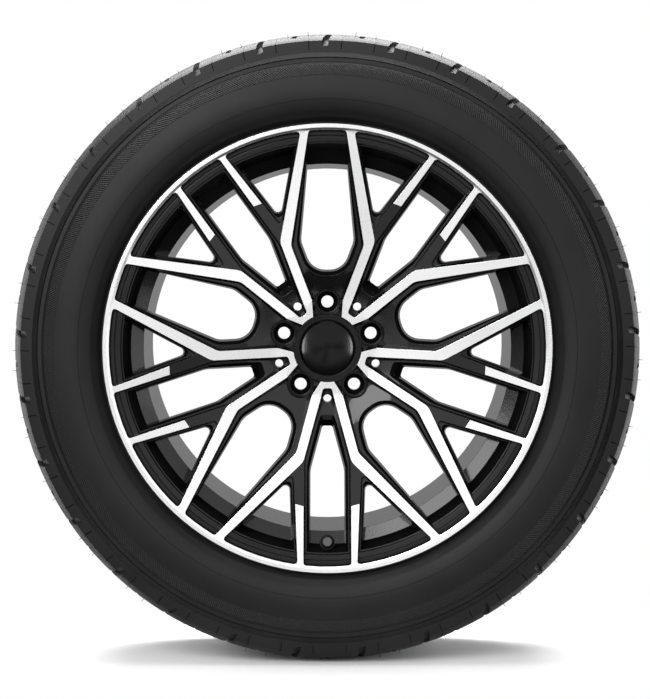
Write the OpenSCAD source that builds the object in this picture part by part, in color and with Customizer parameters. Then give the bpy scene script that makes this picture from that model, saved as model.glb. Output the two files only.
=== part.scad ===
// Car wheel and tyre assembly: cast alloy wheel with five split V spokes, low
// profile tyre, centre cap and snap-in valve. The wheel spins about Y, its
// street side faces -Y and the valve is at the bottom.

/* [Rim] */
// Diameter of the bead seats
rim_d = 508; // [480:1:520]
// Width between the two flanges
rim_w = 228.6; // [215:0.1:240]
// Height of the flanges above the bead seats
flange_h = 17.5; // [16:0.1:19]
// Thickness of each flange
flange_t = 7.4; // [6.5:0.1:9]
// Depth of the drop centre under the bead seats
well_depth = 23; // [21:0.5:25]
// Wall of the barrel
barrel_wall = 6.5; // [5:0.1:8]
// Width of the turned ring on the street side flange
lip_band = 8.4; // [6:0.1:10]
// Depth of the dark panels between the spoke ends
panel_depth = 8; // [6:0.5:9]
// Width of the dark panels between the spoke ends
panel_w = 14.2; // [12:0.1:15]

/* [Hub] */
// Offset of the mounting face from the middle of the rim
offset_et = 40; // [36:1:44]
// Diameter of the mounting face
pad_d = 160; // [155:1:166]
// Diameter of the centre bore
bore_d = 66.6; // [60:0.1:67]
// Length of the centre bore
bore_l = 22; // [18:0.5:26]
// Number of bolts, and of V spokes
bolt_n = 5; // [5:1:5]
// Pitch circle of the bolts
bolt_pcd = 112; // [110:0.5:114]
// Diameter of the bolt holes
bolt_hole_d = 15; // [13:0.1:16]
// Diameter of the wells that the bolt heads go in, at their floor
bolt_well_d = 28.8; // [27:0.1:30]
// Diameter of the wells at the hub face
bolt_mouth_d = 32.4; // [30:0.1:33]
// Diameter of the cone that a bolt head seats on
bolt_cone_d = 26; // [22:0.1:27]
// Metal left under the bolt wells
bolt_floor = 21; // [18:0.5:24]
// Depth of the hub face under the street side flange
web_depth = 42; // [41:0.5:44]
// Diameter of the round recess in the middle of the hub face
eye_d = 83; // [80:0.5:86]
// Diameter of the small hole in the foot of each V
foot_hole_d = 10; // [8:0.1:11]

/* [Spokes] */
// Depth of the turned face at the hub
face_hub_depth = 29.5; // [28:0.5:32]
// Radius at which the turned face becomes flat
face_hub_r = 60; // [55:1:65]
// Depth of the turned face at the knees
face_knee_depth = 19; // [17:0.5:22]
// Distance of each knee along its V
knee_out = 132.2; // [130:0.2:136]
// Distance of each knee to the side of its V
knee_side = 33.4; // [32:0.2:35]
// Distance of the arm roots along the V
root_out = 60.6; // [58:0.2:63]
// Distance of the arm roots to the side of the V
root_side = 14; // [13:0.2:15]
// Width of the arms below the knees
arm_w = 10.8; // [10:0.1:12]
// Width of the main spokes at the knees
main_w_knee = 13.5; // [12:0.1:14.5]
// Width of the main spokes at the rim
main_w_rim = 9.3; // [8:0.1:10.5]
// Angle of the main spokes at the rim from the middle of their V
main_deg = 30; // [29:0.1:30.5]
// Width of the side spokes where their turned face starts
side_w_low = 10; // [9:0.1:11]
// Width of the side spokes at the rim
side_w_rim = 7; // [6.5:0.1:8]
// Angle of the side spokes at the rim from the middle of their V
side_deg = 7.1; // [6.8:0.1:7.5]
// Distance along the V at which the turned face of the side spokes starts
side_out = 187.8; // [182:0.2:192]
// Distance to the side of the V there
side_side = 33.9; // [33:0.1:35]
// Depth of the dark faces of the side spokes under the turned face
dark_depth = 2.6; // [1.5:0.1:4]
// Depth of the ledges beside the turned faces
ledge_h = 9; // [7:0.5:11]
// Draft of the walls beside the turned faces, as a width
wall_in = 2.6; // [1.5:0.1:3]
// Depth of the windows' narrowest line under the ledges
throat_h = 20; // [16:0.5:24]
// Thickness of the spokes at the rim, from the flange plane
spoke_t = 50; // [46:0.5:54]

/* [Windows] */
// Width of the flank from the arms down to the V window
flank_v_arm = 11.5; // [10:0.1:12]
// Width of the flank from the side spokes down to the V window
flank_v_side = 8.2; // [7:0.1:9]
// Width of the flank from the side spokes down to the triangular window
flank_t_side = 6.9; // [6:0.1:7.5]
// Width of the flank from the main spokes down to the triangular window
flank_t_main = 5.8; // [5:0.1:6.5]
// Width of the flank from the arms down to the large window
flank_b_arm = 13.3; // [12:0.1:14]
// Width of the flank from the knees down to the large window
flank_b_knee = 11.5; // [10:0.1:12]
// Width of the flank from the rim end of the main spokes down to the large window
flank_b_rim = 2.6; // [2:0.1:4]
// Distance of the inner end of the V window from the axis
v_window_r = 96; // [94:0.5:99]
// Distance of the inner end of the large window from the axis
b_window_r = 95.3; // [94:0.5:99]
// Corner radius at the inner end of the large window
b_end_r = 23; // [16:0.5:25]
// Corner radius of the large window at the knees
b_knee_r = 22; // [14:0.5:26]
// Distance of the foot of the V pocket from the axis
v_foot_r = 48.8; // [47:0.2:50]

/* [Tyre] */
// Outer diameter of the tyre
tyre_d = 763; // [755:1:771]
// Width of the tyre at its widest
tyre_w = 265.4; // [262:0.2:268]
// Number of pitches round the tread
pitch_n = 29; // [29:1:29]
// Depth of the tread
tread_depth = 7.8; // [6:0.1:8.5]
// Width of the two middle grooves
groove_mid_w = 9.5; // [8:0.1:11]
// Width of the two outer grooves
groove_out_w = 8; // [7:0.1:9]
// Distance of the middle grooves from the middle of the tread
groove_mid_z = 22; // [20:0.5:24]
// Distance of the outer grooves from the middle of the tread
groove_out_z = 62; // [60:0.5:64]
// Width of the cross grooves that run out over the shoulders
notch_w = 7.6; // [5:0.1:8.5]
// Width of the short cross grooves between them
short_w = 6.4; // [5:0.1:7.5]
// Width of the sipes in the ribs
sipe_w = 1.2; // [0.8:0.1:1.6]
// Angle of the cross grooves and sipes to the axis
slant_deg = 16; // [10:1:20]
// Thickness of the casing under the tread grooves
casing_t = 6.6; // [6:0.1:8]
// Thickness of the sidewalls
sidewall_t = 8.6; // [8:0.1:10]

/* [Valve] */
// Distance of the valve seat from the axis
valve_r = 236.7; // [236:0.1:237.5]
// Depth of the valve seat under the flange plane
valve_depth = 34.5; // [34:0.1:35]
// Lean of the valve towards the axis
valve_lean = 6.6; // [5:0.1:8]
// Diameter of the valve hole
valve_hole_d = 11.3; // [11:0.1:11.6]
// Wall of the rim at the valve hole
valve_wall = 5.5; // [5:0.1:6]
// Diameter of the valve's rubber collar
collar_d = 17.4; // [16.5:0.1:17.8]
// Outer diameter of the stem's thread
stem_d = 7.7; // [7.4:0.05:8]
// Outer diameter of the valve cap
cap_d = 11.6; // [11:0.1:12]
// Length of the valve cap
cap_l = 13; // [12:0.5:14]

/* [Centre cap] */
// Diameter of the centre cap
disc_d = 67.6; // [66:0.1:68]
// Rise of the centre cap's dome
disc_rise = 6; // [4:0.5:8]
// Number of clip legs under the centre cap
leg_n = 8; // [6:1:10]
// Wire of the spring ring behind the legs
ring_wire = 1.8; // [1.5:0.1:2]

/* [Fits] */
// Clearance of the tyre beads on the rim
bead_gap = 0.1; // [0.05:0.05:0.3]
// Clearance round the centre cap
disc_gap = 0.6; // [0.4:0.1:1]
// Clearance of close fits between small parts
fit_gap = 0.05; // [0.02:0.01:0.1]

/* [Hidden] */
$fn = 128;

rim_r = rim_d / 2;
lip_r = rim_r + flange_h;
lip_z = rim_w / 2 + flange_t;
ring_r = lip_r - lip_band;
panel_r = ring_r - panel_w;
well_r = rim_r - well_depth;
barrel_r = well_r - barrel_wall;
pad_depth = lip_z - offset_et;
knee_r = norm([knee_out, knee_side]);
step_deg = 360 / bolt_n;
half_deg = step_deg / 2;
air = 6;
deep = 95;

// The local frame has the street side at +Z and the top at +Y.
module stand() { rotate([90, 0, 0]) children(); }
// Copies for the V spokes, with the first V pointing down.
module each_v() { for (i = [0 : bolt_n - 1]) rotate([0, 0, -90 + i * step_deg]) children(); }
module each_gap() { each_v() rotate([0, 0, half_deg]) children(); }

// Depth of the turned face under the flange plane at radius r
function face_depth(r) = lookup(r, [[0, face_hub_depth], [face_hub_r, face_hub_depth],
    [knee_r, face_knee_depth], [ring_r, 1.2], [lip_r, 0]]);
// Depth of the ledges at radius r
web_r = bolt_pcd / 2 + 14;
function ledge_depth(r) = lookup(r, [[0, web_depth], [web_r, web_depth],
    [knee_r * 0.72, face_depth(knee_r * 0.72) + ledge_h], [knee_r, face_knee_depth + ledge_h],
    [panel_r, face_depth(panel_r) + ledge_h]]);

// Plane geometry: points are [along the V, to its side].
function unit(v) = v / norm(v);
function left_of(v) = [-v.y, v.x];
function cross2(a, b) = a.x * b.y - a.y * b.x;
function turn(p, a) = [p.x * cos(a) - p.y * sin(a), p.x * sin(a) + p.y * cos(a)];
function polar(r, a) = [r * cos(a), r * sin(a)];
function flip(p) = [p.x, -p.y];
// A line is [point, unit direction].
function line(a, b) = [a, unit(b - a)];
function beside(l, d) = [l[0] + d * left_of(l[1]), l[1]];
function meet(a, b) = a[0] + a[1] * cross2(b[0] - a[0], b[1]) / cross2(a[1], b[1]);
// Point of a line at distance r from the axis, outwards
function at_radius(l, r) = let (b = l[0] * l[1]) l[0] + l[1] * (sqrt(b * b - l[0] * l[0] + r * r) - b);
function angle_of(p) = atan2(p.y, p.x);
function arc_between(a, b, n) = let (r = norm(a), s = angle_of(a), e = angle_of(b))
    [for (k = [1 : n - 1]) let (p = polar(r, s + (e - s) * k / n)) [p, 0, 0]];

// A corner is [point, radius, arc segments]; round_off turns corners into points.
function corner_points(a, p, b, r, n) =
    n == 0 ? [p] :
    let (e1 = unit(p - a), e2 = unit(b - p), n1 = left_of(e1), n2 = left_of(e2),
         s = cross2(e1, e2) > 0 ? 1 : -1, swing = atan2(cross2(e1, e2), e1 * e2),
         c = p + s * r * (n1 + n2) / (1 + n1 * n2), a1 = angle_of(n1))
    [for (k = [0 : n]) c - s * r * polar(1, a1 + swing * k / n)];
function round_off(c) = [for (i = [0 : len(c) - 1])
    let (m = len(c)) each corner_points(c[(i + m - 1) % m][0], c[i][0], c[(i + 1) % m][0], c[i][1], c[i][2])];
// Moves every corner inwards by d, and tightens its radius to match.
function inset(c, d) = [for (i = [0 : len(c) - 1])
    let (m = len(c), p = c[i][0],
         e1 = unit(p - c[(i + m - 1) % m][0]), e2 = unit(c[(i + 1) % m][0] - p),
         n1 = left_of(e1), n2 = left_of(e2), s = cross2(e1, e2) > 0 ? 1 : -1)
    [p + d * (n1 + n2) / (1 + n1 * n2), max(c[i][1] - s * d, 0.4), c[i][2]]];

// Solid between rings of points, each ring [points, list of heights]. Both ends
// are flat, and are fans about their middle.
function middle(points) = [for (p = points) 1] * points / len(points);
module loft(rings) {
  n = len(rings[0][0]);
  last = len(rings) - 1;
  m = (last + 1) * n;
  polyhedron(
    points = concat(
      [for (ring = rings) for (i = [0 : n - 1]) [ring[0][i].x, ring[0][i].y, ring[1][i]]],
      [for (k = [0, last]) let (c = middle(rings[k][0])) [c.x, c.y, rings[k][1][0]]]),
    faces = [for (i = [0 : n - 1]) let (j = (i + 1) % n) each concat(
      [[m, j, i], [m + 1, last * n + i, last * n + j]],
      [for (k = [0 : last - 1]) each
        [[k * n + i, (k + 1) * n + j, (k + 1) * n + i], [k * n + i, k * n + j, (k + 1) * n + j]]])]);
}
function level(points, z) = [for (p = points) z];
function below_face(points, d) = [for (p = points) lip_z - face_depth(norm(p)) - d];
function below_ledge(points, d) = [for (p = points) lip_z - ledge_depth(norm(p)) - d];

// Drafted pocket down from the turned face to the ledges, with straight walls in
// the air above it. It is made deeper than the ledges, which then bound it.
module pocket(corners, depth) {
  past = depth + 3;
  top = round_off(inset(corners, -wall_in / ledge_h));
  foot = round_off(inset(corners, wall_in * past / ledge_h));
  intersection() {
    loft([[top, level(top, lip_z + air)], [top, below_face(top, -1)],
          [foot, below_face(foot, past)], [foot, level(foot, lip_z - deep + 25)]]);
    above_ledges();
  }
}
// Window through the spokes, kept inside the rim: its crease line lies just over
// the ledge, a flank slopes down to the bend, and a steep wall on to the throat,
// where the window is narrowest
crease_up = 0.6;
bend_h = 6;
module window(crease, bend, throat, back) {
  mouth = round_off(crease);
  knuckle = round_off(bend);
  waist = round_off(throat);
  tail = round_off(back);
  intersection() {
    loft([[mouth, level(mouth, lip_z + air)], [mouth, below_ledge(mouth, -crease_up)],
          [knuckle, below_ledge(knuckle, bend_h)], [waist, below_ledge(waist, throat_h)],
          [tail, level(tail, lip_z - deep)]]);
    inside_rim();
  }
}

// Centre lines of the spokes on the +side of the V
knee = [knee_out, knee_side];
arm_line = line([root_out, root_side], knee);
main_end = polar(ring_r, main_deg);
main_line = line(knee, main_end);
side_end = polar(ring_r, side_deg);
side_line = line([side_out, side_side], side_end);

// Edges of the turned faces; a tapered spoke's edge runs between its two half widths
function tapered(l, end, w1, w2) = line(l[0] + left_of(l[1]) * w1, end + left_of(l[1]) * w2);
arm_in = beside(arm_line, -arm_w / 2);
arm_out = beside(arm_line, arm_w / 2);
main_in = tapered(main_line, main_end, -main_w_knee / 2, -main_w_rim / 2);
main_out = tapered(main_line, main_end, main_w_knee / 2, main_w_rim / 2);
side_in = tapered(side_line, side_end, -side_w_low / 2, -side_w_rim / 2);
side_out_edge = tapered(side_line, side_end, side_w_low / 2, side_w_rim / 2);

// Corner lists run anticlockwise.
foot_line = [[v_foot_r, 0], [0, 1]];
function v_edge() = let (low = meet(arm_in, foot_line), bend = meet(arm_in, side_in),
    end = at_radius(side_in, ring_r))
  let (half = [[end, 3, 2], [bend, 30, 2], [low, 3.5, 3]])
  concat([for (i = [2 : -1 : 0]) [flip(half[i][0]), half[i][1], half[i][2]]],
         arc_between(flip(end), end, 3), half);
// V window outline with its flanks at a share s of their full width
function v_hole(s, r_in, r_corner) = let (
    low_l = beside(arm_in, -flank_v_arm * s), side_l = beside(side_in, -flank_v_side * s),
    end_l = [[r_in, 0], [0, 1]])
  let (half = [[at_radius(side_l, ring_r - 2), 0, 0], [meet(low_l, side_l), 34, 3],
    [meet(low_l, end_l), r_corner, 3]])
  concat([for (i = [2 : -1 : 0]) [flip(half[i][0]), half[i][1], half[i][2]]], half);

function t_edge() = let (tip = meet(side_out_edge, main_in), a = at_radius(side_out_edge, ring_r),
    b = at_radius(main_in, ring_r))
  concat([[tip, 5, 4], [a, 3, 2]], arc_between(a, b, 6), [[b, 3, 2]]);
function t_hole(s, r_corner) = let (
    a_l = beside(side_out_edge, flank_t_side * s), b_l = beside(main_in, -flank_t_main * s))
  [[meet(a_l, b_l), r_corner, 4], [at_radius(a_l, ring_r - 2), 0, 0], [at_radius(b_l, ring_r - 2), 0, 0]];

// The large pockets lie between two V's: their points are turned to the line between.
function to_gap(p) = turn(p, -half_deg);
function line_to_gap(l) = [to_gap(l[0]), to_gap(l[1])];
apex_low = [eye_d / 2 * 0.985, 8.2];
apex_side = meet(arm_out, line(apex_low, apex_low + [17, 10.6]));
function b_edge() = let (k = meet(arm_out, main_out), e = at_radius(main_out, ring_r))
  let (half = [for (c = [[apex_low, 0, 0], [apex_side, 3, 2], [k, 16, 4], [e, 3, 2]])
    [to_gap(c[0]), c[1], c[2]]])
  concat(half, arc_between(half[3][0], flip(half[3][0]), 3),
         [for (i = [3 : -1 : 0]) [flip(half[i][0]), half[i][1], half[i][2]]]);
function b_hole(s, r_in) = let (
    low_l = line_to_gap(beside(arm_out, flank_b_arm * s)),
    out_l = line_to_gap(tapered(main_line, main_end, main_w_knee / 2 + flank_b_knee * s,
                                main_w_rim / 2 + flank_b_rim * s)),
    end_l = [[r_in, 0], [0, 1]])
  let (wide = flank_b_arm * (1 - s),
    half = [[meet(low_l, end_l), b_end_r + wide, 6], [meet(low_l, out_l), b_knee_r + wide, 4],
            [at_radius(out_l, ring_r - 2), 0, 0]])
  concat(half, [for (i = [2 : -1 : 0]) [flip(half[i][0]), half[i][1], half[i][2]]]);

// Dark face of a side spoke: from the knee, round the tip of the triangular
// pocket, to the slanted start of the spoke's turned face
dark_over = 1.2;
dark_skim = 0.15;
function dark_edge() = let (
    a = side_line[0], across = left_of(side_line[1]), along = side_line[1],
    arm_l = beside(arm_in, -dark_skim), main_l = beside(main_in, -dark_skim),
    v_side = beside(side_in, -dark_over), t_side = beside(side_out_edge, dark_over),
    start = line(a + 1.6 * along, a + 0.1 * along + 5 * across),
    tip = meet(side_out_edge, main_l))
  [[meet(v_side, start), 0, 0], [meet(t_side, start), 0, 0],
   [tip + 15 * unit(along + main_l[1]), 0, 0], [tip + 11 * main_l[1], 0, 0],
   [meet(arm_l, main_l), 18, 4], [meet(v_side, arm_l), 0, 0]];

// Space above the ledges, which bounds the floors of the pockets
panel_edge = 1.2;
module above_ledges() {
  rs = [web_r, knee_r * 0.72, knee_r];
  rotate_extrude()
    polygon(concat([[0, lip_z + 2 * air], [0, lip_z - web_depth]],
      [for (r = rs) [r, lip_z - ledge_depth(r)]],
      [[panel_r, lip_z - ledge_depth(panel_r)], [panel_r, lip_z - panel_depth - panel_edge],
        [panel_r + panel_edge, lip_z - panel_depth], [ring_r + 4, lip_z - panel_depth],
        [ring_r + 4, lip_z + 2 * air]]));
}
// Space above the dark faces
module above_dark() {
  rotate_extrude()
    polygon([[0, lip_z + 2 * air], [0, lip_z - face_hub_depth - dark_depth],
      [face_hub_r, lip_z - face_hub_depth - dark_depth], [knee_r, lip_z - face_knee_depth - dark_depth],
      [ring_r, lip_z - 1.2 - dark_depth], [ring_r, lip_z + 2 * air]]);
}
module dark_cut() {
  intersection() {
    translate([0, 0, lip_z - deep / 2]) linear_extrude(deep) polygon(round_off(dark_edge()));
    above_dark();
  }
}
// Space inside the rim, which bounds the outer ends of the windows
cheek_r = barrel_r + 14.5;
cheek_depth = valve_depth - 1.5;
cheek_fall = 6.5;
cast_step = 0.6;
module inside_rim() {
  rotate_extrude()
    polygon([[0, lip_z + 2 * air], [panel_r + panel_edge, lip_z + 2 * air],
      [panel_r + panel_edge, lip_z - panel_depth], [panel_r, lip_z - panel_depth - panel_edge],
      [cheek_r + 1, lip_z - cheek_depth + 2], [cheek_r, lip_z - cheek_depth],
      [barrel_r - cast_step, lip_z - cheek_depth - cheek_fall], [barrel_r - cast_step, lip_z - 2 * deep],
      [0, lip_z - 2 * deep]]);
}

// Section of the wheel as turned, before the pockets and windows are cut
module wheel_blank() {
  back = 2 * lip_z;
  rotate_extrude()
    polygon([for (p = [
      [0, face_hub_depth], [face_hub_r, face_hub_depth], [knee_r, face_knee_depth], [ring_r, 1.2],
      [ring_r + 3, 0], [lip_r - 1, 0], [lip_r, 1], [lip_r, 3.6], [lip_r - 1.6, 6.2], [lip_r - 5.5, flange_t],
      [rim_r + 3.2, flange_t], [rim_r + 0.6, flange_t + 2.2],
      [rim_r - 1, 26], [rim_r - 0.2, 28], [rim_r - 1.4, 30.5],
      [rim_r - 5.5, valve_depth + 0.8], [well_r + 2, valve_depth + 7], [well_r, valve_depth + 10],
      [well_r, back - 42], [rim_r - 1.4, back - 30.5], [rim_r - 0.2, back - 28], [rim_r - 1, back - 26],
      [rim_r + 0.6, back - flange_t - 2.2], [rim_r + 3.2, back - flange_t], [lip_r - 5.5, back - flange_t],
      [lip_r - 1.6, back - 6.2], [lip_r, back - 3.6], [lip_r, back - 1], [lip_r - 1, back], [ring_r, back],
      [rim_r - 6.5, back - 6], [rim_r - barrel_wall - 1.5, back - 21], [barrel_r, back - 37],
      [barrel_r, spoke_t], [180, spoke_t + 1], [knee_r, spoke_t + 8], [100, spoke_t + 20],
      [pad_d / 2 + 4, pad_depth - 4], [pad_d / 2, pad_depth], [0, pad_depth]]) [p.x, lip_z - p.y]]);
}

// Everything below is measured along the valve: z = 0 is its seat, +Z its outer end.
module at_valve() {
  rotate([0, 0, -90]) translate([valve_r, 0, lip_z - valve_depth]) rotate([0, -valve_lean, 0]) children();
}
collar_gap = 0.9;
bulb_d = collar_d + 1.4;
bulb_l = 6;

module bolt_cuts() {
  seat = pad_depth - bolt_floor;
  cone_h = (bolt_cone_d - bolt_hole_d) / 2;
  each_gap() translate([bolt_pcd / 2, 0, 0]) {
    translate([0, 0, lip_z - pad_depth - 1]) cylinder(d = bolt_hole_d, h = bolt_floor + 2);
    translate([0, 0, lip_z - seat - cone_h]) cylinder(d1 = bolt_hole_d, d2 = bolt_cone_d, h = cone_h + 0.01);
    translate([0, 0, lip_z - seat]) cylinder(d1 = bolt_well_d, d2 = bolt_mouth_d, h = seat - web_depth + 1);
    translate([0, 0, lip_z - web_depth + 0.99]) cylinder(d = bolt_mouth_d, h = web_depth);
  }
}
disc_seat = web_depth + 4;
// The cap's clips hook behind a shoulder, in a short chamber in front of the bore.
clip_d = bore_d - 8;
clip_room_d = bore_d - 3;
clip_room_l = 6.4;
module hub_cuts() {
  translate([0, 0, lip_z - pad_depth - 1]) cylinder(d = bore_d, h = bore_l + 1);
  translate([0, 0, lip_z - pad_depth]) cylinder(d = clip_room_d, h = bore_l + clip_room_l);
  translate([0, 0, lip_z - pad_depth]) cylinder(d = clip_d, h = pad_depth);
  translate([0, 0, lip_z - disc_seat]) cylinder(d = disc_d + 2 * disc_gap, h = disc_seat);
  translate([0, 0, lip_z - web_depth]) cylinder(d = eye_d, h = web_depth);
}
// Recesses cast into the back of the hub between the bolts
module back_cuts() {
  each_v() translate([bolt_pcd / 2 + 6, 0, lip_z - pad_depth - 1]) {
    cylinder(d = 24, h = 13);
    cylinder(d = foot_hole_d, h = pad_depth);
  }
}

// The turned section starts beside the middle of a V, where nothing is cut
start_deg = 57;
module wheel() {
  color([0.08, 0.08, 0.085])
  stand() difference() {
    union() {
      rotate([0, 0, start_deg]) wheel_blank();
      at_valve() translate([0, 0, -valve_wall]) cylinder(d = collar_d + 5, h = valve_wall);
    }
    each_v() {
      pocket(v_edge(), 12);
      window(v_hole(0.45, v_window_r - 15, 4), v_hole(0.8, v_window_r - 8, 4),
             v_hole(1, v_window_r, 3), v_hole(0.9, v_window_r - 2, 3));
      for (side = [0, 1]) mirror([0, side, 0]) {
        pocket(t_edge(), 12);
        dark_cut();
        window(t_hole(0.5, 5), t_hole(0.82, 5), t_hole(1, 5), t_hole(0.85, 5));
      }
    }
    each_gap() {
      pocket(b_edge(), 14);
      window(b_hole(0.5, b_window_r - 8), b_hole(0.82, b_window_r - 2.6), b_hole(1, b_window_r),
             b_hole(0.9, b_window_r - 2));
    }
    bolt_cuts();
    hub_cuts();
    back_cuts();
    at_valve() {
      cylinder(d = collar_d + 2 * collar_gap, h = 60);
      translate([0, 0, -valve_wall - 1]) cylinder(d = valve_hole_d, h = valve_wall + 2);
      translate([0, 0, -valve_wall - bulb_l - 2]) cylinder(d = bulb_d + 1, h = bulb_l + 2);
    }
  }
}

// Points on a smooth curve through the inner points of p, n to a span
function smooth(p, n) = [for (i = [1 : len(p) - 3]) for (k = [0 : n - 1])
    let (t = k / n, a = p[i - 1], b = p[i], c = p[i + 1], d = p[i + 2])
    0.5 * (2 * b + (c - a) * t + (2 * a - 5 * b + 4 * c - d) * t * t + (3 * b - a - 3 * c + d) * t * t * t)];

tread_r = tyre_d / 2;
side_z = tyre_w / 2;
liner_r = tread_r - tread_depth - casing_t;
pitch_deg = 360 / pitch_n;
// One wide cross groove is at the top.
first_groove_deg = 90 - 7 * pitch_deg;
shoulder_z = side_z - 30;
bead_toe = 25.8;
groove_floor_r = tread_r - tread_depth;

// Half section of the tyre: down its outside from the middle of the tread to the
// bead toe, then back up its inside. Tread and shoulder points are set back from
// the tread and from the widest place, bead points stand on the rim.
function tyre_half() = concat(
    [[tread_r, 0]],
    smooth([for (p = [[0, side_z], [0.2, side_z - groove_out_z + 7], [0.9, 52.7], [2.9, 37.7], [6.4, 28],
                      [10.8, 20.9], [16, 14]]) [tread_r - p[0], side_z - p[1]]], 3),
    [for (p = [[10.8, 20.9], [18, 19.2], [25, 18], [25.6, 16.6], [31, 12], [31.9, 12.9], [32.8, 11.2],
               [37.2, 10.4], [37.6, 10.7], [40.5, 7.7]]) [tread_r - p[0], side_z - p[1]]],
    smooth([[tread_r - 40.5, side_z - 7.7], [tread_r - 46, side_z - 5.5], [tread_r - 53.5, side_z - 3.3],
            [tread_r - 63.5, side_z - 1.1], [lip_r + 37.5, side_z], [lip_r + 28.5, side_z - 0.3],
            [lip_r + 19.5, side_z - 2.5], [lip_r + 13, side_z - 5.5], [lip_r + 9, side_z - 9]], 4),
    [for (p = [[lip_r + 13, lip_z - side_z + 5.5], [lip_r + 11.5, -4], [lip_r + 8, -0.5], [lip_r + 5, 4.5],
               [lip_r + 1.5, flange_t - 0.2], [lip_r - 3.5, flange_t + bead_gap],
               [rim_r + 4, flange_t + bead_gap], [rim_r + 0.6 + 3 * bead_gap, flange_t + 2.2 + bead_gap],
               [rim_r - 1 + 3 * bead_gap, bead_toe], [rim_r + 2.5, bead_toe + 1.5], [lip_r - 3.5, 21.5],
               [lip_r + 13.5, sidewall_t + 1.4]]) [p[0], lip_z - p[1]]],
    [[lip_r + 18.5, side_z - sidewall_t - 5.1], [lip_r + 37.5, side_z - sidewall_t - 0.6],
     [liner_r - 37, side_z - sidewall_t - 3.1], [liner_r - 17, side_z - sidewall_t - 12.1],
     [liner_r - 7, side_z - sidewall_t - 24.1], [liner_r - 1, side_z - sidewall_t - 44], [liner_r, 0]]);
module tread_groove(z, w) {
  rotate_extrude()
    polygon([[groove_floor_r, z - w / 2 + 1.2], [groove_floor_r, z + w / 2 - 1.2],
             [tread_r + 1, z + w / 2 + 0.2], [tread_r + 1, z - w / 2 - 0.2]]);
}
// Cut across the tread, w wide, with its section [radius, height] given by points
module across(w, points) {
  translate([0, 0, shoulder_z]) rotate([-slant_deg, 0, 0]) translate([0, 0, -shoulder_z])
    rotate([90, 0, 0]) linear_extrude(w, center = true) polygon(points);
}
// Cuts of one pitch on one side: the cross groove that runs out over the
// shoulder, the short groove between two of them, and the sipes of two ribs
module pitch_cuts() {
  over = tread_r + 4;
  across(notch_w, [[over, groove_out_z], [groove_floor_r, groove_out_z], [groove_floor_r, shoulder_z],
    [tread_r - 10, shoulder_z + 0.8], [tread_r - 19, shoulder_z + 12.8], [tread_r - 15, side_z],
    [over, side_z]]);
  rotate([0, 0, pitch_deg / 2])
    across(short_w, [[over, groove_out_z], [groove_floor_r + 1.5, groove_out_z],
      [groove_floor_r + 1.5, shoulder_z], [tread_r - 4, shoulder_z + 2], [over, shoulder_z + 4]]);
  for (z = [[groove_mid_z + groove_mid_w / 2 + 6, groove_out_z], [6, groove_mid_z]])
    across(sipe_w, [[over, z[0]], [groove_floor_r + 2, z[0]], [groove_floor_r + 2, z[1]], [over, z[1]]]);
}
module tyre() {
  half = tyre_half();
  color([0.13, 0.13, 0.13])
  stand() difference() {
    rotate_extrude() polygon(concat(half, [for (i = [len(half) - 2 : -1 : 1]) [half[i].x, -half[i].y]]));
    for (s = [-1, 1]) {
      tread_groove(s * groove_mid_z, groove_mid_w);
      tread_groove(s * groove_out_z, groove_out_w);
    }
    for (side = [0, 1]) rotate([180 * side, 0, 0])
      for (i = [0 : pitch_n - 1]) rotate([0, 0, first_groove_deg + i * pitch_deg]) pitch_cuts();
  }
}

// The centre cap is measured from its seat in the hub, outwards.
disc_edge = 3.1;
disc_wall = 2.4;
leg_r = clip_d / 2 - disc_gap / 2;
leg_t = 2;
leg_gap = 9;
hook_z = disc_seat + bore_l + clip_room_l - pad_depth - disc_gap / 2;
leg_end = hook_z - 5;
ring_z = leg_end + 2.2 + ring_wire / 2;
module at_disc() { stand() translate([0, 0, lip_z - disc_seat]) children(); }
function dome(r, low) = [r, disc_edge + disc_rise * (1 - pow(2 * r / disc_d, 2)) - low];
module centre_cap() {
  under_r = leg_r - leg_t - 1.5;
  color([0.04, 0.04, 0.045])
  at_disc() {
    rotate_extrude()
      polygon(concat([[disc_d / 2 - 0.8, fit_gap], [disc_d / 2, 0.9], [disc_d / 2, disc_edge - 0.6]],
        [for (k = [1 : 12]) dome(disc_d / 2 * (1 - k / 12), 0)],
        [for (k = [0 : 8]) dome(under_r * k / 8, disc_wall)], [[under_r, fit_gap]]));
    difference() {
      rotate_extrude()
        polygon([[leg_r - leg_t, 1], [leg_r, 1], [leg_r, hook_z], [leg_r + 1.6, hook_z - 1],
          [leg_r + 1.6, hook_z - 1.8], [leg_r - 0.8, leg_end], [leg_r - leg_t - 1, leg_end],
          [leg_r - leg_t - 1, leg_end + 1.2], [leg_r - leg_t, leg_end + 2]]);
      for (i = [0 : leg_n - 1]) rotate([0, 0, (i + 0.5) * 360 / leg_n])
        translate([leg_r / 2, -leg_gap / 2, leg_end - 1]) cube([leg_r, leg_gap, -leg_end + 0.5]);
    }
  }
}
module centre_cap_ring() {
  r = leg_r - leg_t - ring_wire / 2 - fit_gap;
  color([0.7, 0.7, 0.72])
  at_disc() difference() {
    translate([0, 0, ring_z]) rotate_extrude() translate([r, 0]) circle(d = ring_wire, $fn = 32);
    translate([r - 3, -2.5, ring_z - 2]) cube([6, 5, 4]);
  }
}

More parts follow.
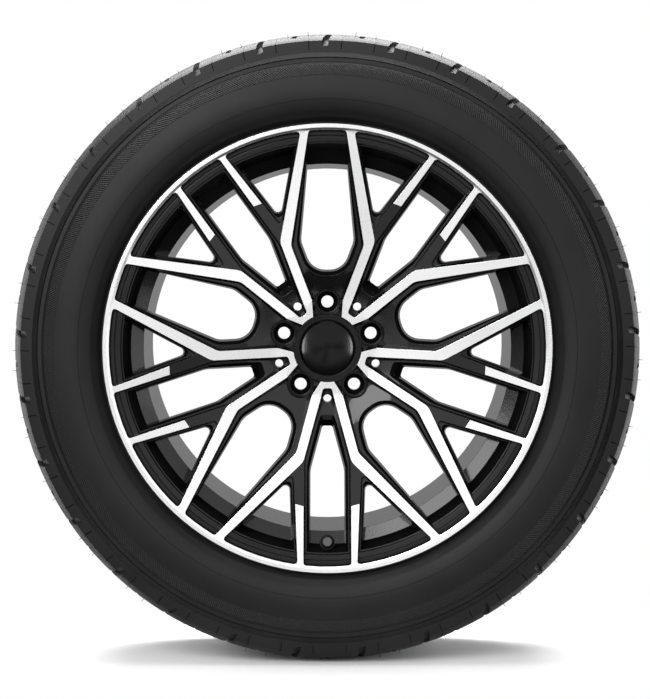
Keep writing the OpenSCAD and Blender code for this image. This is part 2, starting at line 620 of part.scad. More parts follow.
// Valve sizes along its axis, from its seat on the rim
bulb_end = -valve_wall - bulb_l;
neck_end = 10.6;
cap_low = neck_end + 0.4;
stem_end = cap_low + cap_l - 2.5;
stem_low_r = stem_d / 2 - 0.65;
core_r = 2.6;
core_bottom = 4;
spring_low = 8;
barrel_end = 14.9;
plug_end = stem_end - 0.9;
pin_r = 0.8;
pin_shoulder = 13.5;
module turned(colour, points) {
  color(colour) stand() at_valve() rotate_extrude() polygon(points);
}
module valve_body() {
  hole_r = valve_hole_d / 2 - fit_gap;
  inner_r = stem_low_r + fit_gap;
  turned([0.07, 0.07, 0.07], [[inner_r, bulb_end], [bulb_d / 2 - 1.6, bulb_end], [bulb_d / 2, bulb_end + 1.8],
    [bulb_d / 2, -valve_wall - 1], [bulb_d / 2 - 1, -valve_wall - fit_gap], [hole_r, -valve_wall - fit_gap],
    [hole_r, fit_gap], [collar_d / 2 - 0.5, fit_gap], [collar_d / 2, 0.6], [collar_d / 2, 2],
    [collar_d / 2 - 1.8, 4.6], [stem_d / 2 + 1.5, neck_end - 1.2], [stem_d / 2 + 1, neck_end],
    [inner_r, neck_end]]);
}
module valve_stem() {
  bore_r = core_r + fit_gap;
  turned([0.72, 0.6, 0.32], [[1.6, bulb_end], [stem_low_r, bulb_end], [stem_low_r, neck_end + fit_gap],
    [stem_d / 2, neck_end + 0.3], [stem_d / 2, stem_end - 0.5], [stem_d / 2 - 0.4, stem_end],
    [bore_r, stem_end], [bore_r, core_bottom - 4], [1.6, core_bottom - 6]]);
}
module valve_core() {
  turned([0.75, 0.63, 0.35], [[pin_r + fit_gap, core_bottom], [core_r - 0.6, core_bottom],
    [core_r, core_bottom + 1.5], [core_r, core_bottom + 5],
    [core_r - 0.4, core_bottom + 5.6], [core_r - 0.4, barrel_end],
    [1.75, barrel_end], [1.75, spring_low], [pin_r + fit_gap, spring_low]]);
}
module valve_core_plug() {
  color([0.75, 0.63, 0.35])
  stand() at_valve() difference() {
    rotate_extrude()
      polygon([[pin_r + fit_gap, barrel_end + fit_gap], [core_r - 0.3, barrel_end + fit_gap],
        [core_r, barrel_end + 0.4], [core_r, plug_end - 2], [core_r - 0.5, plug_end - 1.8],
        [core_r - 0.5, plug_end], [pin_r + fit_gap, plug_end]]);
    for (s = [-1, 1]) translate([s * 2 - 1, -core_r, plug_end - 1.8]) cube([2, 2 * core_r, 2]);
  }
}
module valve_pin() {
  turned([0.8, 0.8, 0.82], [[0, core_bottom - 1], [pin_r, core_bottom - 1], [pin_r, pin_shoulder],
    [1.5, pin_shoulder], [1.5, pin_shoulder + 0.8], [pin_r, pin_shoulder + 0.8], [pin_r, stem_end - 0.6],
    [pin_r - 0.2, stem_end - 0.4], [0, stem_end - 0.4]]);
}
module valve_pin_cup() {
  turned([0.75, 0.63, 0.35], [[0, core_bottom - 2.4], [1.4, core_bottom - 2.4], [2.2, core_bottom - 1.6],
    [2.2, core_bottom - fit_gap], [pin_r + fit_gap, core_bottom - fit_gap],
    [pin_r + fit_gap, core_bottom - 1 - fit_gap], [0, core_bottom - 1 - fit_gap]]);
}
spring_wire = 0.5;
spring_r = 1.25;
spring_turns = 6;
module valve_spring() {
  sides = 6;
  steps = 12 * spring_turns;
  low = spring_low + spring_wire / 2 + fit_gap;
  rise = pin_shoulder - spring_low - spring_wire - 2 * fit_gap;
  color([0.75, 0.75, 0.78])
  stand() at_valve() polyhedron(
    points = concat([for (k = [0 : steps]) for (j = [0 : sides - 1])
      let (a = 360 * spring_turns * k / steps, b = 360 * j / sides, r = spring_r + spring_wire / 2 * cos(b))
      [r * cos(a), r * sin(a), low + rise * k / steps + spring_wire / 2 * sin(b)]]),
    faces = concat([[for (j = [0 : sides - 1]) j]], [[for (j = [sides - 1 : -1 : 0]) steps * sides + j]],
      [for (k = [0 : steps - 1]) for (j = [0 : sides - 1]) let (a = k * sides, m = (j + 1) % sides) each
        [[a + j, a + sides + m, a + m], [a + j, a + sides + j, a + sides + m]]]));
}
module valve_cap() {
  r = cap_d / 2;
  ribs = 20;
  color([0.1, 0.1, 0.1])
  stand() at_valve() difference() {
    rotate_extrude()
      polygon([[stem_d / 2 + fit_gap, cap_low], [r - 0.5, cap_low], [r, cap_low + 0.5],
        [r, cap_low + cap_l - 0.8], [r - 0.8, cap_low + cap_l], [0, cap_low + cap_l],
        [0, cap_low + cap_l - 1.6], [stem_d / 2 + fit_gap, cap_low + cap_l - 1.6]]);
    for (i = [0 : ribs - 1]) rotate([0, 0, i * 360 / ribs])
      translate([r + 0.25, 0, cap_low + 2]) cylinder(r = 0.6, h = cap_l - 4, $fn = 24);
  }
}
module valve_cap_seal() {
  turned([0.3, 0.05, 0.05], [[1.2, stem_end + fit_gap], [stem_d / 2 - 0.3, stem_end + fit_gap],
    [stem_d / 2 - 0.3, cap_low + cap_l - 1.6 - fit_gap], [1.2, cap_low + cap_l - 1.6 - fit_gap]]);
}

wheel();
tyre();
centre_cap();
centre_cap_ring();
valve_body();
valve_stem();
valve_core();
valve_core_plug();
valve_pin();
valve_pin_cup();
valve_spring();
valve_cap();
valve_cap_seal();
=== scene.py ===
# %% [markdown]
# A car wheel with its tyre, dressed for a studio picture. The solids of every
# piece come with the frame, at their real size and place, so this lesson is
# about finishes: gloss black paint, faces cut bright by a diamond tool, and
# moulded rubber. Fine things that no solid holds are modelled here.

# %% Start from the frame
import math
import random

import bmesh
import bpy
from mathutils import Matrix, Vector


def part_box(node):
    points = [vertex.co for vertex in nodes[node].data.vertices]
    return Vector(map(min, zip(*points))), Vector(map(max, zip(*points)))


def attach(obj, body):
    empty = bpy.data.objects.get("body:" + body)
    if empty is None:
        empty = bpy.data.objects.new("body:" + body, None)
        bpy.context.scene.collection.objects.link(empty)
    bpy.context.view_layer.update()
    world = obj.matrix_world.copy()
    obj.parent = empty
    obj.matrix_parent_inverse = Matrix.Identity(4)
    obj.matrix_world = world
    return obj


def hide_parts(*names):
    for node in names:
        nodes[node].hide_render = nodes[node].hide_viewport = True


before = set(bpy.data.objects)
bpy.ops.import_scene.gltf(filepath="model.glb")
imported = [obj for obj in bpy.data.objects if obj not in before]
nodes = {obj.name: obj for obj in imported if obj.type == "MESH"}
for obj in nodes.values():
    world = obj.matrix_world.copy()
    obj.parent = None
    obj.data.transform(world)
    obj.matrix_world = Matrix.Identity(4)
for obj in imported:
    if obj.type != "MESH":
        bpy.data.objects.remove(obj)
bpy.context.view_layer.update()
scene = bpy.context.scene
WHEEL_BODY = "wheel_and_tyre"
print("pieces in the frame:", sorted(nodes))

# %% [markdown]
# The sizes that finishes depend on are read from the frame where they can be.
# The axis is Y, the street side faces -Y, and depth is counted backwards from
# the plane of the street side flange.

# %% Sizes in metres
MM = 0.001
tyre_low, tyre_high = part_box("tyre")
wheel_low, wheel_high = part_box("wheel")
TREAD_R = tyre_high.z
LIP_R = wheel_high.x
LIP_WIDTH = 8.4 * MM
RING_R = LIP_R - LIP_WIDTH
FLANGE_Y = wheel_low.y
FLOOR_Z = tyre_low.z
print("tyre %.1f mm across, rim %.1f mm across" % (2 * TREAD_R / MM, 2 * LIP_R / MM))

# %% [markdown]
# The lathe cuts all bright faces along one bent line: flat over the hub, a
# slow rise to the spokes' knees, a steeper one to the lip. Its bends are given
# as radius and depth in millimetres.

# %% The lathe's cut
CUT_BENDS = [(0.0, 29.5), (60.0, 29.5), (136.4, 19.0), (RING_R / MM, 1.2), (RING_R / MM + 3, 0.0), (300.0, 0.0)]


def face_depth(r):
    """Depth of the turned faces at radius r."""
    r = r / MM
    for (r1, d1), (r2, d2) in zip(CUT_BENDS, CUT_BENDS[1:]):
        if r <= r2:
            return (d1 + (d2 - d1) * (r - r1) / (r2 - r1)) * MM
    return 0.0


print("cut %.1f mm deep where the lip begins" % (face_depth(RING_R) / MM))

# %% [markdown]
# The camera comes first, because every finish is judged through it. A long
# lens nearly three metres away keeps the spokes' depth small, as in a
# catalogue picture.

# %% Camera
LONG_SIDE_PX = 699
FOCAL_PX = 2413
SENSOR_MM = 36
CAMERA_AWAY = 2.9
CAMERA_UP = 0.105
AIM = Vector((-0.0029, FLANGE_Y, -0.0006))

camera_data = bpy.data.cameras.new("camera")
camera_data.sensor_width = SENSOR_MM
camera_data.lens = SENSOR_MM * FOCAL_PX / LONG_SIDE_PX
camera = bpy.data.objects.new("camera", camera_data)
camera.location = (AIM.x, FLANGE_Y - CAMERA_AWAY, CAMERA_UP)
camera.rotation_euler = (AIM - camera.location).to_track_quat("-Z", "Y").to_euler()
scene.collection.objects.link(camera)
scene.camera = camera
scene.view_settings.view_transform = "Standard"
print("lens %.1f mm" % camera_data.lens)

# %% [markdown]
# Shader nodes are easier to read when making one takes one line. These
# helpers add a node with its settings and inputs, a sum, a material and a
# group in one call each.

# %% Node helpers


def feed(tree, socket, value):
    """Links a socket to an input, or gives the input a plain value."""
    if isinstance(value, bpy.types.NodeSocket):
        tree.links.new(value, socket)
    else:
        socket.default_value = value


def add(tree, kind, settings=None, **inputs):
    """Adds a shader node. Inputs go by name, with _ for a blank, or by number, as n0, n1 and so on."""
    made = tree.nodes.new("ShaderNode" + kind)
    for key, value in (settings or {}).items():
        setattr(made, key, value)
    for key, value in inputs.items():
        by_number = key[0] == "n" and key[1:].isdigit()
        feed(tree, made.inputs[int(key[1:])] if by_number else made.inputs[key.replace("_", " ")], value)
    return made


def calc(tree, operation, a, b=0.0, c=0.0):
    """One Math node; gives its output socket."""
    return add(tree, "Math", {"operation": operation}, n0=a, n1=b, n2=c).outputs[0]


def blend(tree, share, first, second):
    """Mixes two colours by a share; gives the colour socket."""
    return add(tree, "Mix", {"data_type": "RGBA"}, n0=share, n6=first, n7=second).outputs[2]


def new_material(name):
    """An empty material with a Principled BSDF; gives the material, its tree and the shader."""
    made = bpy.data.materials.new(name)
    made.use_nodes = True
    tree = made.node_tree
    tree.nodes.clear()
    shader = add(tree, "BsdfPrincipled")
    add(tree, "OutputMaterial", Surface=shader.outputs[0])
    return made, tree, shader


def new_group(name, inputs, outputs):
    """A node group with float or colour sockets; gives the group, its input node and its output node."""
    group = bpy.data.node_groups.new(name, "ShaderNodeTree")
    for label, kind, default in inputs:
        socket = group.interface.new_socket(label, in_out="INPUT", socket_type="NodeSocket" + kind)
        socket.default_value = default
    for label, kind in outputs:
        group.interface.new_socket(label, in_out="OUTPUT", socket_type="NodeSocket" + kind)
    return group, group.nodes.new("NodeGroupInput"), group.nodes.new("NodeGroupOutput")


def use_group(tree, group, **inputs):
    """Places a group in a material's tree."""
    made = tree.nodes.new("ShaderNodeGroup")
    made.node_tree = group
    for key, value in inputs.items():
        feed(tree, made.inputs[key], value)
    return made


# %% [markdown]
# Nearly everything on a wheel is laid out round its axis, so one group turns
# the object's own coordinates into radius, angle and distance along the axis.

# %% Group: place round the axis
polar, _, polar_out = new_group(
    "place_round_axis", [], [("Radius", "Float"), ("Angle", "Float"), ("Along", "Float")])
place = add(polar, "TexCoord")
parts = add(polar, "SeparateXYZ", Vector=place.outputs["Object"])
flat = add(polar, "CombineXYZ", X=parts.outputs["X"], Y=parts.outputs["Z"])
radius = add(polar, "VectorMath", {"operation": "LENGTH"}, n0=flat.outputs[0])
polar.links.new(radius.outputs["Value"], polar_out.inputs["Radius"])
polar.links.new(calc(polar, "ARCTAN2", parts.outputs["Z"], parts.outputs["X"]), polar_out.inputs["Angle"])
polar.links.new(parts.outputs["Y"], polar_out.inputs["Along"])

# %% [markdown]
# A band is 1 between two radii and 0 outside them, with short soft edges.

# %% Group: band
band, band_in, band_out = new_group(
    "band", [("Value", "Float", 0.0), ("Low", "Float", 0.0), ("High", "Float", 1.0), ("Edge", "Float", 0.0005)],
    [("Mask", "Float")])
rise = calc(band, "DIVIDE", calc(band, "SUBTRACT", band_in.outputs["Value"], band_in.outputs["Low"]),
            band_in.outputs["Edge"])
fall = calc(band, "DIVIDE", calc(band, "SUBTRACT", band_in.outputs["High"], band_in.outputs["Value"]),
            band_in.outputs["Edge"])
clamped = add(band, "Clamp", Value=calc(band, "MINIMUM", rise, fall))
band.links.new(clamped.outputs[0], band_out.inputs["Mask"])

# %% [markdown]
# Between the wide cross grooves, which the solid has, the shoulder carries
# three thin slits per pitch. They are drawn from the same pitch and slant.
# The pattern of the far side is the near one turned over about X. Each slit
# is given as its share of the pitch, and where it starts and ends along Y.

# %% Group: shoulder sipes
PITCHES = 29
PITCH = 2 * math.pi / PITCHES
GROOVE_DEG = 3.1
FIRST_GROOVE = math.radians(GROOVE_DEG) / PITCH
SLANT_PER_M = 0.76
SHOULDER_Y = 0.1027
SIPE_HALF = 0.0055
SIPE_EDGE = 0.0003
SIPE_PLACES = [(0.75, 0.0915, 0.1145), (0.444, 0.0915, 0.0990), (0.247, 0.0915, 0.1145)]

sipes, sipes_in, sipes_out = new_group("shoulder_sipes", [("Angle", "Float", 0.0), ("Along", "Float", 0.0)],
                                       [("Mask", "Float")])
side_sign = calc(sipes, "MULTIPLY", calc(sipes, "SIGN", sipes_in.outputs["Along"]), -1.0)
from_middle = calc(sipes, "ABSOLUTE", sipes_in.outputs["Along"])
swept = calc(sipes, "MULTIPLY_ADD", calc(sipes, "SUBTRACT", from_middle, SHOULDER_Y), -SLANT_PER_M,
             calc(sipes, "MULTIPLY", side_sign, sipes_in.outputs["Angle"]))
share = calc(sipes, "FRACT", calc(sipes, "SUBTRACT", calc(sipes, "DIVIDE", swept, PITCH), FIRST_GROOVE))
lines = 0.0
for spot, low, high in SIPE_PLACES:
    across = calc(sipes, "LESS_THAN", calc(sipes, "ABSOLUTE", calc(sipes, "SUBTRACT", share, spot)), SIPE_HALF)
    within = use_group(sipes, band, Value=from_middle, Low=low, High=high, Edge=SIPE_EDGE).outputs["Mask"]
    lines = calc(sipes, "MAXIMUM", lines, calc(sipes, "MULTIPLY", across, within))
sipes.links.new(lines, sipes_out.inputs["Mask"])
print(PITCHES * len(SIPE_PLACES), "slits on each shoulder")

# %% [markdown]
# Rubber straight from the mould is near black, a little dusty and slightly
# rough. Below the shoulder the mould leaves a band of fine slanted ribs,
# a thin ring, and a smooth sidewall down to the rim. The ribs' crests are
# coloured paler, a painted highlight where light would catch them. The slits
# are painted black as the shade inside them, and count as metal, so that they
# give back no light at all.

# %% Finish: tyre rubber
SIDEWALL_Y = 0.09
SHOULDER_R = 0.36
RIB_COUNT = 700
RIB_LEAN = 2.5
# How much of the painted highlight the rib crests get.
RIB_HIGHLIGHT_SHARE = 0.75
RIB_HEIGHT, THIN_RING_HEIGHT, SIPE_DEPTH, GRAIN_HEIGHT = 0.0009, 0.0004, 0.0009, 0.00006
HATCH_LOW, HATCH_HIGH, HATCH_EDGE = 0.3280, 0.3412, 0.0006
THIN_RING_LOW, THIN_RING_HIGH, THIN_RING_EDGE = 0.2992, 0.3002, 0.0003
RUBBER_CLEAN, RUBBER_DUSTY = (0.009, 0.009, 0.0093, 1), (0.014, 0.014, 0.0143, 1)
# The crest colour is a painted highlight on the ribs, and the slit colour is painted shade.
RIB_CREST_HIGHLIGHT, SIPE_SHADE_BLACK = (0.045, 0.045, 0.046, 1), (0.002, 0.002, 0.002, 1)


def tyre_rubber():
    """Moulded rubber with its ribbed band, its ring and its slits, with a painted highlight on the rib crests and
    painted shade in the slits.
    """
    made, tree, shader = new_material("tyre_rubber")
    at = use_group(tree, polar)
    r, angle, along = at.outputs["Radius"], at.outputs["Angle"], at.outputs["Along"]
    place = add(tree, "TexCoord").outputs["Object"]
    side = calc(tree, "GREATER_THAN", calc(tree, "ABSOLUTE", along), SIDEWALL_Y)
    hatch = use_group(tree, band, Value=r, Low=HATCH_LOW, High=HATCH_HIGH, Edge=HATCH_EDGE).outputs["Mask"]
    hatch = calc(tree, "MULTIPLY", hatch, side)
    phase = calc(tree, "MULTIPLY", calc(tree, "SUBTRACT", angle, calc(tree, "MULTIPLY", r, RIB_LEAN)), RIB_COUNT)
    ribs = calc(tree, "MULTIPLY", calc(tree, "MULTIPLY_ADD", calc(tree, "SINE", phase), 0.5, 0.5), hatch)
    ring = use_group(tree, band, Value=r, Low=THIN_RING_LOW, High=THIN_RING_HIGH, Edge=THIN_RING_EDGE)
    cuts = use_group(tree, sipes, Angle=angle, Along=along).outputs["Mask"]
    cuts = calc(tree, "MULTIPLY", cuts, calc(tree, "GREATER_THAN", r, SHOULDER_R))
    broad = add(tree, "TexNoise", Vector=place, Scale=9.0, Detail=3.0, Roughness=0.6)
    fine = add(tree, "TexNoise", Vector=place, Scale=900.0, Detail=4.0, Roughness=0.6)

    dust = add(tree, "MapRange", n0=broad.outputs["Fac"], n1=0.35, n2=0.7, n3=0.0, n4=1.0)
    colour = blend(tree, dust.outputs[0], RUBBER_CLEAN, RUBBER_DUSTY)
    # The rib crests get a paler colour, which is a painted highlight.
    colour = blend(tree, calc(tree, "MULTIPLY", ribs, RIB_HIGHLIGHT_SHARE), colour, RIB_CREST_HIGHLIGHT)
    # The slits are painted black as the shade inside them, and made metallic so that they give back no light.
    feed(tree, shader.inputs["Base Color"], blend(tree, cuts, colour, SIPE_SHADE_BLACK))
    feed(tree, shader.inputs["Metallic"], cuts)
    feed(tree, shader.inputs["Roughness"], calc(tree, "MULTIPLY_ADD", fine.outputs["Fac"], 0.14, 0.46))
    shader.inputs["Specular IOR Level"].default_value = 0.22

    height = calc(tree, "MULTIPLY", ribs, RIB_HEIGHT)
    height = calc(tree, "MULTIPLY_ADD", ring.outputs["Mask"], THIN_RING_HEIGHT, height)
    height = calc(tree, "MULTIPLY_ADD", cuts, -SIPE_DEPTH, height)
    height = calc(tree, "MULTIPLY_ADD", fine.outputs["Fac"], GRAIN_HEIGHT, height)
    bump = add(tree, "Bump", Strength=1.0, Distance=1.0, Height=height)
    feed(tree, shader.inputs["Normal"], bump.outputs[0])
    return made


# %% [markdown]
# The casting is primed, painted gloss black and clear coated. Paint rounds
# off every edge a little, and the Bevel node gives that look without adding
# a face.

# %% Finish: gloss black paint
PAINT_EDGE = 0.0009
PEEL_DEPTH = 0.0003
PAINT_DARK, PAINT_PALE = (0.0035, 0.0035, 0.0038, 1), (0.006, 0.006, 0.0063, 1)


def gloss_black():
    """Black paint under clear coat, with a faint orange peel."""
    made, tree, shader = new_material("wheel_gloss_black")
    place = add(tree, "TexCoord").outputs["Object"]
    peel = add(tree, "TexNoise", Vector=place, Scale=420.0, Detail=2.0)
    broad = add(tree, "TexNoise", Vector=place, Scale=14.0, Detail=3.0)
    feed(tree, shader.inputs["Base Color"], blend(tree, broad.outputs["Fac"], PAINT_DARK, PAINT_PALE))
    feed(tree, shader.inputs["Roughness"], calc(tree, "MULTIPLY_ADD", broad.outputs["Fac"], 0.05, 0.13))
    shader.inputs["Specular IOR Level"].default_value = 0.3
    shader.inputs["Coat Weight"].default_value = 0.15
    shader.inputs["Coat Roughness"].default_value = 0.05
    edge = add(tree, "Bevel", {"samples": 6}, Radius=PAINT_EDGE)
    bump = add(tree, "Bump", Strength=0.25, Distance=PEEL_DEPTH, Height=peel.outputs["Fac"], Normal=edge.outputs[0])
    feed(tree, shader.inputs["Normal"], bump.outputs[0])
    return made


# %% [markdown]
# After painting, a diamond tool skims the spoke faces and the lip on a lathe.
# It leaves bright metal with very fine turning lines round the axis.

# %% Finish: diamond-turned metal
CUT_PITCH = 0.00035
CUT_DEPTH = 0.00001
CUT_EDGE = 0.0005
METAL_DARK, METAL_PALE = (0.80, 0.80, 0.81, 1), (0.88, 0.88, 0.885, 1)


def turned_metal():
    """Bright aluminium with turning lines."""
    made, tree, shader = new_material("diamond_turned_metal")
    at = use_group(tree, polar)
    place = add(tree, "TexCoord").outputs["Object"]
    lines = calc(tree, "SINE", calc(tree, "MULTIPLY", at.outputs["Radius"], 2 * math.pi / CUT_PITCH))
    broad = add(tree, "TexNoise", Vector=place, Scale=22.0, Detail=3.0)
    feed(tree, shader.inputs["Base Color"], blend(tree, broad.outputs["Fac"], METAL_DARK, METAL_PALE))
    feed(tree, shader.inputs["Roughness"], calc(tree, "MULTIPLY_ADD", broad.outputs["Fac"], 0.015, 0.22))
    shader.inputs["Metallic"].default_value = 1.0
    edge = add(tree, "Bevel", {"samples": 6}, Radius=CUT_EDGE)
    bump = add(tree, "Bump", Strength=0.15, Distance=CUT_DEPTH, Height=lines, Normal=edge.outputs[0])
    feed(tree, shader.inputs["Normal"], bump.outputs[0])
    return made


# %% [markdown]
# The small pieces need one plain recipe each: a colour that varies a little,
# a roughness and a fine grain.

# %% Finish: simple moulded or turned surfaces
DARKEST_SHARE = 0.82
SMALL_EDGE = 0.0003


def simple_finish(name, colour, rough, metallic=0.0, grain=600.0, depth=0.00003, gloss=0.5):
    """One colour with slight variation and a fine grain."""
    made, tree, shader = new_material(name)
    place = add(tree, "TexCoord").outputs["Object"]
    noise = add(tree, "TexNoise", Vector=place, Scale=grain, Detail=3.0)
    darker = tuple(c * DARKEST_SHARE for c in colour)
    feed(tree, shader.inputs["Base Color"], blend(tree, noise.outputs["Fac"], (*darker, 1), (*colour, 1)))
    feed(tree, shader.inputs["Roughness"], calc(tree, "MULTIPLY_ADD", noise.outputs["Fac"], 0.1, rough - 0.05))
    shader.inputs["Metallic"].default_value = metallic
    shader.inputs["Specular IOR Level"].default_value = gloss
    edge = add(tree, "Bevel", {"samples": 4}, Radius=SMALL_EDGE)
    bump = add(tree, "Bump", Strength=0.5, Distance=depth, Height=noise.outputs["Fac"], Normal=edge.outputs[0])
    feed(tree, shader.inputs["Normal"], bump.outputs[0])
    return made


finishes = {
    "centre_cap": simple_finish("cap_gloss_black", (0.004, 0.004, 0.0045), 0.16,
                                gloss=0.15, grain=200, depth=0.00001),
    "valve_rubber": simple_finish("valve_rubber", (0.02, 0.02, 0.02), 0.6),
    "brass": simple_finish("valve_brass", (0.72, 0.55, 0.27), 0.3, metallic=1.0),
    "steel": simple_finish("spring_steel", (0.62, 0.62, 0.64), 0.28, metallic=1.0),
    "cap_plastic": simple_finish("valve_cap_plastic", (0.10, 0.10, 0.10), 0.42),
    "seal": simple_finish("seal_rubber", (0.14, 0.02, 0.02), 0.6),
}
node_finish = {
    "centre_cap": "centre_cap", "centre_cap_ring": "steel", "valve_body": "valve_rubber", "valve_stem": "brass",
    "valve_core": "brass", "valve_core_plug": "brass", "valve_pin": "steel", "valve_pin_cup": "brass",
    "valve_spring": "steel", "valve_cap": "cap_plastic", "valve_cap_seal": "seal",
}
for name, key in node_finish.items():
    nodes[name].data.materials.clear()
    nodes[name].data.materials.append(finishes[key])
print(len(node_finish), "small pieces finished")

# %% [markdown]
# The big pieces arrive as loose triangles, which shade flat. A copy of each
# is joined up, and its edges are kept sharp only where the surface really
# turns, so that turned and moulded faces shade as the smooth rounds they are.

# %% Joined copies of the casting and the tyre
MERGE = 2e-6


def joined_copy(node, name, sharp_deg):
    """A joined-up, smooth shaded copy of a CAD node that stands for it."""
    form = bmesh.new()
    form.from_mesh(nodes[node].data)
    bmesh.ops.remove_doubles(form, verts=form.verts, dist=MERGE)
    bmesh.ops.dissolve_degenerate(form, edges=form.edges, dist=MERGE)
    limit = math.radians(sharp_deg)
    for face in form.faces:
        face.smooth = True
    for edge in form.edges:
        edge.smooth = edge.is_manifold and edge.calc_face_angle(0.0) < limit
    mesh = bpy.data.meshes.new(name)
    form.to_mesh(mesh)
    open_edges = sum(1 for e in form.edges if not e.is_manifold)
    form.free()
    piece = bpy.data.objects.new(name, mesh)
    scene.collection.objects.link(piece)
    weighted = piece.modifiers.new("weighted_normals", "WEIGHTED_NORMAL")
    weighted.keep_sharp = True
    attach(piece, WHEEL_BODY)
    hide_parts(node)
    print(name, len(mesh.polygons), "faces,", open_edges, "open edges")
    return piece


casting = joined_copy("wheel", "wheel_casting", sharp_deg=18)
tyre = joined_copy("tyre", "tyre_rubber_body", sharp_deg=24)

# %% [markdown]
# The turned faces are the ones that lie on the lathe's cut. Each face of the
# casting is tested against that line, and those on it get bright metal. The
# lip's outer edge is rounded, so the test is looser there.

# %% Paint and turned faces
TOLERANCE = 0.12 * MM
LIP_ROUND_WIDTH, LIP_ROUND_DROP = 1.5 * MM, 0.9 * MM
STREET_SIDE = -0.6
casting.data.materials.append(gloss_black())
casting.data.materials.append(turned_metal())
turned = 0
for face in casting.data.polygons:
    on_cut = face.normal.y < STREET_SIDE
    for index in face.vertices:
        p = casting.data.vertices[index].co
        r = math.hypot(p.x, p.z)
        allowed = TOLERANCE + (LIP_ROUND_DROP if r > LIP_R - LIP_ROUND_WIDTH else 0)
        if abs((p.y - FLANGE_Y) - face_depth(r)) > allowed:
            on_cut = False
    if on_cut:
        face.material_index = 1
        turned += 1
tyre.data.materials.append(tyre_rubber())
print(turned, "turned faces")

# %% [markdown]
# A new tyre still wears the hairs that rubber leaves in the mould's vents.
# They stand in two rows on each shoulder, and the floor leaves out the ones
# right under the tyre.

# %% Vent hairs
HAIR_ROOT_R = TREAD_R - 4.4 * MM
HAIR_Y = 0.098
HAIR_DEG = (5.2, 8.9)
HAIR_LENGTH = 6.4 * MM
HAIR_SHORTEST = 0.72
HAIR_SWAY = 0.12
HAIR_WIDTH = 0.9 * MM
HAIR_SEED = 29

dice = random.Random(HAIR_SEED)
form = bmesh.new()
for number in range(PITCHES):
    for clockwise in HAIR_DEG:
        for side in (1, -1):
            angle = side * (math.radians(GROOVE_DEG - clockwise) + number * PITCH)
            length = HAIR_LENGTH * dice.uniform(HAIR_SHORTEST, 1.0)
            way = Vector((math.cos(angle), dice.uniform(-HAIR_SWAY, HAIR_SWAY), math.sin(angle))).normalized()
            middle = Vector((HAIR_ROOT_R * math.cos(angle), -side * HAIR_Y, HAIR_ROOT_R * math.sin(angle)))
            middle += way * length / 2
            if middle.z - length < FLOOR_Z:
                continue
            turn = Vector((0, 0, 1)).rotation_difference(way).to_matrix().to_4x4()
            bmesh.ops.create_cone(form, cap_ends=True, segments=6, radius1=HAIR_WIDTH / 2, radius2=HAIR_WIDTH / 4,
                                  depth=length, matrix=Matrix.Translation(middle) @ turn)
hair_mesh = bpy.data.meshes.new("tyre_vent_hairs")
form.to_mesh(hair_mesh)
form.free()
hairs = bpy.data.objects.new("tyre_vent_hairs", hair_mesh)
scene.collection.objects.link(hairs)
hair_mesh.materials.append(simple_finish("vent_hair_rubber", (0.03, 0.03, 0.03), 0.5))
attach(hairs, WHEEL_BODY)
print(len(hair_mesh.polygons), "faces of hairs")

# %% [markdown]
# The wheel stands on a pale floor that keeps its shadow. Away from the wheel
# the floor turns clear, so that it fades into the white room.

# %% Floor
FLOOR_HALF = 3.0
FLOOR_GAP = 0.0005
FLOOR_WHITE = (0.9, 0.9, 0.9, 1)
FADE_SHAPE = (1.0, 2.2, 0.0)
FADE_START, FADE_END = 0.12, 0.75
form = bmesh.new()
bmesh.ops.create_grid(form, x_segments=1, y_segments=1, size=FLOOR_HALF,
                      matrix=Matrix.Translation((0, 0, FLOOR_Z - FLOOR_GAP)))
floor_mesh = bpy.data.meshes.new("floor")
form.to_mesh(floor_mesh)
form.free()
floor = bpy.data.objects.new("floor", floor_mesh)
scene.collection.objects.link(floor)
floor_material = bpy.data.materials.new("studio_floor")
floor_material.use_nodes = True
tree = floor_material.node_tree
tree.nodes.clear()
place = add(tree, "TexCoord").outputs["Object"]
spot = add(tree, "Mapping", Vector=place, Scale=FADE_SHAPE)
away = add(tree, "VectorMath", {"operation": "LENGTH"}, n0=spot.outputs[0]).outputs["Value"]
fade = add(tree, "MapRange", {"interpolation_type": "SMOOTHSTEP"}, n0=away, n1=FADE_START, n2=FADE_END, n3=0.0, n4=1.0)
diffuse = add(tree, "BsdfDiffuse", Color=FLOOR_WHITE)
clear = add(tree, "BsdfTransparent")
mixed = add(tree, "MixShader", n0=fade.outputs[0], n1=diffuse.outputs[0], n2=clear.outputs[0])
add(tree, "OutputMaterial", Surface=mixed.outputs[0])
floor_mesh.materials.append(floor_material)

# %% [markdown]
# Soft boxes light the wheel. In a studio, flags and barn doors keep each one
# off the pieces that it would spoil, and here a lamp is linked to the pieces
# that it may light. The key comes from the upper left, with a weaker one from
# the right. The rubber has four more, above, behind and at the sides, which
# draw the tread against the white, and the centre cap has a strip each side.

# %% Lamps


def soft_lamp(name, away, azimuth, off_axis, size, power):
    """A soft box seen from the hub: away in metres, azimuth from +X towards the top, off the -Y axis, in degrees."""
    turn, tilt = math.radians(azimuth), math.radians(off_axis)
    place = away * Vector((math.cos(turn) * math.sin(tilt), -math.cos(tilt), math.sin(turn) * math.sin(tilt)))
    data = bpy.data.lights.new(name, "AREA")
    data.shape = "RECTANGLE"
    data.size, data.size_y = size
    data.energy = power
    lamp = bpy.data.objects.new(name, data)
    lamp.location = place
    lamp.rotation_euler = (-place).to_track_quat("-Z", "Y").to_euler()
    scene.collection.objects.link(lamp)
    return lamp


def shine_on(lamp, pieces):
    """Lets a lamp light these pieces only."""
    lit = bpy.data.collections.new("lit_by_" + lamp.name)
    for piece in pieces:
        lit.objects.link(piece)
    lamp.light_linking.receiver_collection = lit


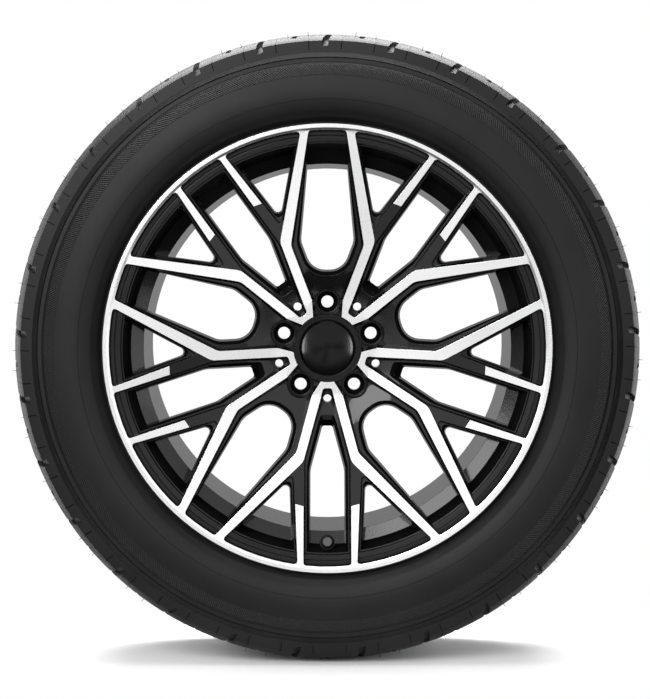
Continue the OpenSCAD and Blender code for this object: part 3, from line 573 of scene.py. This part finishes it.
rubber_pieces = [tyre, hairs, floor]
cap_pieces = [nodes["centre_cap"], nodes["centre_cap_ring"]]
others = [piece for piece in scene.objects if piece.type == "MESH" and piece not in cap_pieces]
lamps = [
    ("lamp_upper_left", 3.0, 132, 36, (1.6, 1.6), 55, others),
    ("lamp_right", 3.0, 2, 44, (0.8, 1.6), 9, others),
    ("strip_left", 3.0, 172, 36, (0.25, 1.4), 40, cap_pieces),
    ("strip_right", 3.0, 6, 36, (0.25, 1.4), 40, cap_pieces),
    ("lamp_overhead", 2.6, 90, 120, (3.0, 1.2), 230, rubber_pieces),
    ("lamp_top", 2.6, 90, 88, (3.0, 1.0), 60, rubber_pieces),
    ("lamp_behind_left", 2.6, 180, 120, (1.2, 3.0), 60, rubber_pieces),
    ("lamp_behind_right", 2.6, 0, 120, (1.2, 3.0), 60, rubber_pieces),
]
for name, away, azimuth, off_axis, size, power, pieces in lamps:
    shine_on(soft_lamp(name, away, azimuth, off_axis, size, power), pieces)
print(len(lamps), "lamps")

# %% [markdown]
# The room is white for the camera. What mirrors see is a studio instead: a
# wide glow in front and above, with a dark gap where the camera stands and
# three dimmer sectors, which give turned metal its light and dark rays, and a
# grey card behind. The rest is nearly dark, which keeps the pockets black.
# Each sector has its middle, its half width and how much it dims. The edges
# are cosines of the angle from the middle of the glow, or from the Y axis.

# %% Room
DIM_SECTORS = [(0.0, 0.50, 0.80), (3.46, 0.55, 0.7), (4.50, 0.40, 0.7)]
FRONT_LIGHT, BACK_LIGHT, SIDE_LIGHT, FILL_LIGHT = 1.35, 0.32, 0.02, 0.42
GLOW_TILT = math.radians(15)
GLOW_EDGE = (0.64, 0.82)
SECTOR_EDGE = (-0.87, -0.94)
GAP_EDGE, GAP_DIMMING = (-0.9962, -0.999), 0.8
CARD_EDGE = (0.86, 0.96)
WHITE = (1, 1, 1, 1)

world = bpy.data.worlds.new("white_room")
scene.world = world
world.use_nodes = True
tree = world.node_tree
tree.nodes.clear()


def ramp(value, start, end, top=1.0):
    """Goes smoothly from 0 at start to top at end."""
    return add(tree, "MapRange", {"interpolation_type": "SMOOTHSTEP"},
               n0=value, n1=start, n2=end, n3=0.0, n4=top).outputs[0]


def without(light, share):
    """Takes a share away from a light."""
    return calc(tree, "MULTIPLY", light, calc(tree, "SUBTRACT", 1.0, share))


rays = add(tree, "LightPath")
gaze = add(tree, "TexCoord").outputs["Generated"]
way = add(tree, "SeparateXYZ", Vector=gaze)
away = way.outputs["Y"]
turn = calc(tree, "ARCTAN2", way.outputs["Z"], way.outputs["X"])
middle = add(tree, "VectorMath", {"operation": "DOT_PRODUCT"}, n0=gaze,
             n1=(0, -math.cos(GLOW_TILT), math.sin(GLOW_TILT))).outputs["Value"]
light = ramp(middle, *GLOW_EDGE, FRONT_LIGHT)
for centre, half, dimming in DIM_SECTORS:
    off = calc(tree, "ABSOLUTE", calc(tree, "WRAP", calc(tree, "SUBTRACT", turn, centre), math.pi, -math.pi))
    light = without(light, calc(tree, "MULTIPLY", ramp(off, half, 0.0, dimming), ramp(away, *SECTOR_EDGE)))
light = without(light, ramp(away, *GAP_EDGE, GAP_DIMMING))
light = calc(tree, "ADD", light, ramp(away, *CARD_EDGE, BACK_LIGHT))
light = calc(tree, "ADD", light, SIDE_LIGHT)
mirrored = add(tree, "Background", Color=WHITE, Strength=light)
fill = add(tree, "Background", Color=WHITE, Strength=FILL_LIGHT)
shown = add(tree, "Background", Color=WHITE, Strength=1.0)
mixed = add(tree, "MixShader", n0=rays.outputs["Is Glossy Ray"], n1=fill.outputs[0], n2=mirrored.outputs[0])
mixed = add(tree, "MixShader", n0=rays.outputs["Is Camera Ray"], n1=mixed.outputs[0], n2=shown.outputs[0])
add(tree, "OutputWorld", Surface=mixed.outputs[0])
